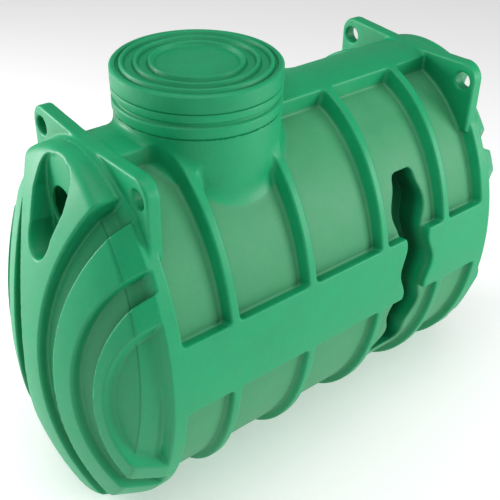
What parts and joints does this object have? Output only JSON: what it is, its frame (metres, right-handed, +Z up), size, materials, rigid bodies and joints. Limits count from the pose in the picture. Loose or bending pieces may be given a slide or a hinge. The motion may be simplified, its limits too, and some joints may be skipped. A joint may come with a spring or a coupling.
{
  "type": "septic tank",
  "caption": "Horizontal moulded plastic septic tank with ribbed oval body, domed ends with pipe pockets, lidded turret and lifting ears.",
  "frame": {"origin": "on the ground, under the middle of the tank", "axes": "+X along the tank from the inlet end to the outlet end, +Z up, Y across"},
  "size_m": [1.634, 0.782, 1.2941],
  "materials": {
    "polyethylene": "satin rotomoulded skin",
    "polyethylene_lid": "satin rotomoulded skin"
  },
  "bodies": {
    "root": {"bottom_band": "polyethylene", "top_band": "polyethylene", "side_band_near": "polyethylene", "side_band_far": "polyethylene", "ring_inlet": "polyethylene", "rib_a": "polyethylene", "rib_b": "polyethylene", "rib_c": "polyethylene", "rib_d": "polyethylene", "ring_outlet": "polyethylene", "panels_a": "polyethylene", "panels_b": "polyethylene", "panels_c": "polyethylene", "panels_d": "polyethylene", "panels_e": "polyethylene", "partition_near": "polyethylene", "partition_far": "polyethylene", "ears_inlet": "polyethylene", "ears_outlet": "polyethylene", "neck": "polyethylene", "neck_collar": "polyethylene", "lid": "polyethylene_lid", "lid_rings": "polyethylene_lid", "end_inlet": "polyethylene", "shoulder_inlet": "polyethylene", "spine_inlet": "polyethylene", "arcs_outer_inlet": "polyethylene", "arcs_inner_inlet": "polyethylene", "housing_inlet": "polyethylene", "end_outlet": "polyethylene", "shoulder_outlet": "polyethylene", "spine_outlet": "polyethylene", "arcs_outer_outlet": "polyethylene", "arcs_inner_outlet": "polyethylene", "housing_outlet": "polyethylene"}
  },
  "joints": []
}
